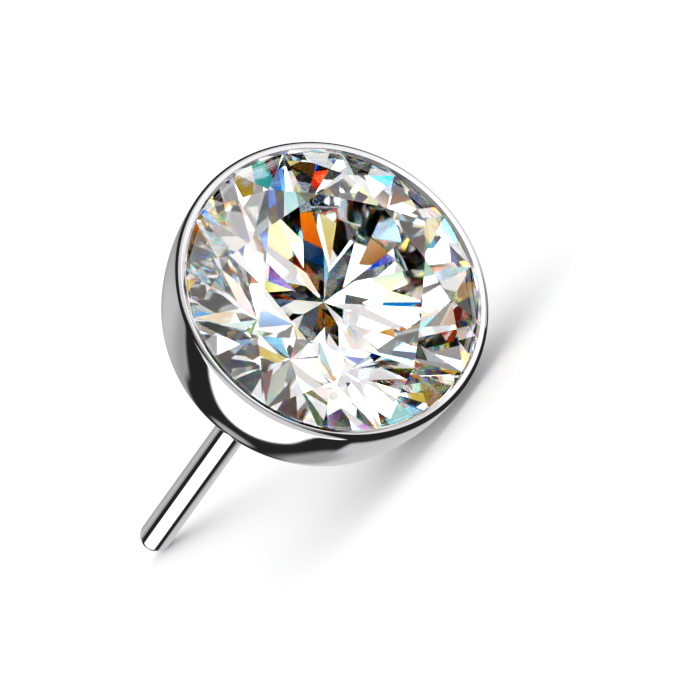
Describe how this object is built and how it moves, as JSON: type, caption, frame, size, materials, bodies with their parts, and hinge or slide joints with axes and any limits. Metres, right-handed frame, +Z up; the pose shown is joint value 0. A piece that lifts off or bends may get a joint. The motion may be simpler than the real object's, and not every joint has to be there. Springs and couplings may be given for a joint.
{
  "type": "threadless gem ball end",
  "caption": "Round clear gem in a polished half-ball setting on a straight press-fit pin, the decorative end of a threadless body jewellery post.",
  "frame": {"origin": "on the surface that the part lies on, under the middle of its box", "axes": "+Z up from that surface; the gem faces -Y, tipped up, and the pin runs to +Y, down to its tip; +X completes the frame, and the part is symmetric about X = 0 apart from the turn of the stone"},
  "size_m": [0.005, 0.01, 0.005],
  "materials": {
    "titanium": "mirror-polished titanium",
    "gem": "faceted and polished clear cubic zirconia"
  },
  "bodies": {
    "root": {"half_ball_setting": "titanium", "stone": "gem", "pin": "titanium"}
  },
  "joints": []
}
